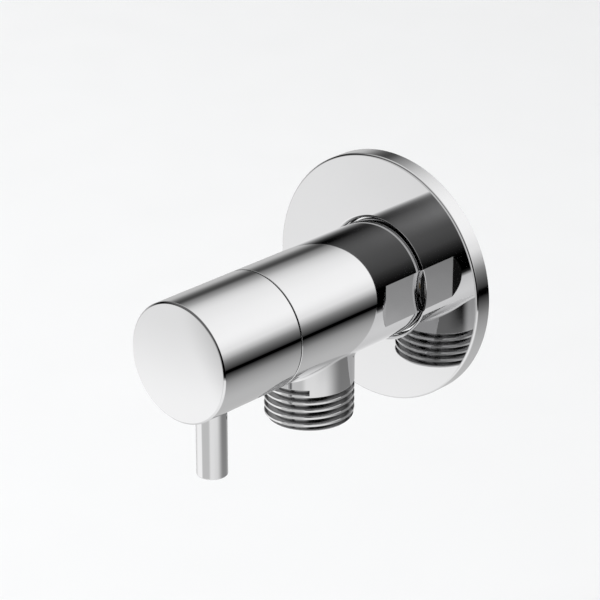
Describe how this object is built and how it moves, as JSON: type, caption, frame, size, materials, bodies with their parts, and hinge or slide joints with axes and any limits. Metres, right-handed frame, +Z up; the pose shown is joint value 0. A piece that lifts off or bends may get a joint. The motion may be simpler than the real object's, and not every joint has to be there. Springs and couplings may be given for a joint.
{
  "type": "angle stop valve",
  "caption": "Chrome quarter-turn angle stop valve with a round wall plate, a knob with a pin lever, a threaded inlet shank and a threaded outlet pointing down.",
  "frame": {"origin": "on the valve's axis, in the plane of the finished wall, where the rear edge of the wall plate rests", "axes": "+Y along the inlet into the wall, knob towards -Y, +Z up, outlet towards -Z"},
  "size_m": [0.0598, 0.0876, 0.0601],
  "materials": {
    "chrome": "polished chrome plate on brass",
    "brass": "turned brass",
    "stainless": "stainless steel",
    "rubber": "black sealing rubber",
    "ceramic": "lapped white ceramic",
    "white_plastic": "moulded white plastic"
  },
  "bodies": {
    "valve": {"valve_body": "chrome", "inlet_strainer": "stainless", "headwork_housing": "brass", "housing_o_ring": "rubber", "disc_seal": "rubber", "fixed_ceramic_disc": "ceramic", "slip_washer": "white_plastic", "glide_ring": "white_plastic"},
    "handle": {"handle_knob": "chrome", "lever_pin": "chrome", "grub_screw": "stainless", "spline_adapter": "white_plastic", "adapter_screw": "stainless", "spindle": "brass", "spindle_o_ring_inner": "rubber", "spindle_o_ring_outer": "rubber", "retaining_clip": "stainless", "rotating_ceramic_disc": "ceramic"},
    "plate": {"wall_flange": "chrome", "flange_o_ring": "rubber"}
  },
  "joints": [
    {"name": "handle_turn", "type": "hinge", "parent": "valve", "child": "handle", "pos_m": [0, -0.0463, 0], "axis": [0, 1, 0], "range_deg": [0, 90]},
    {"name": "plate_slide", "type": "slide", "parent": "valve", "child": "plate", "axis": [0, -1, 0], "range_m": [0, 0.01]}
  ]
}
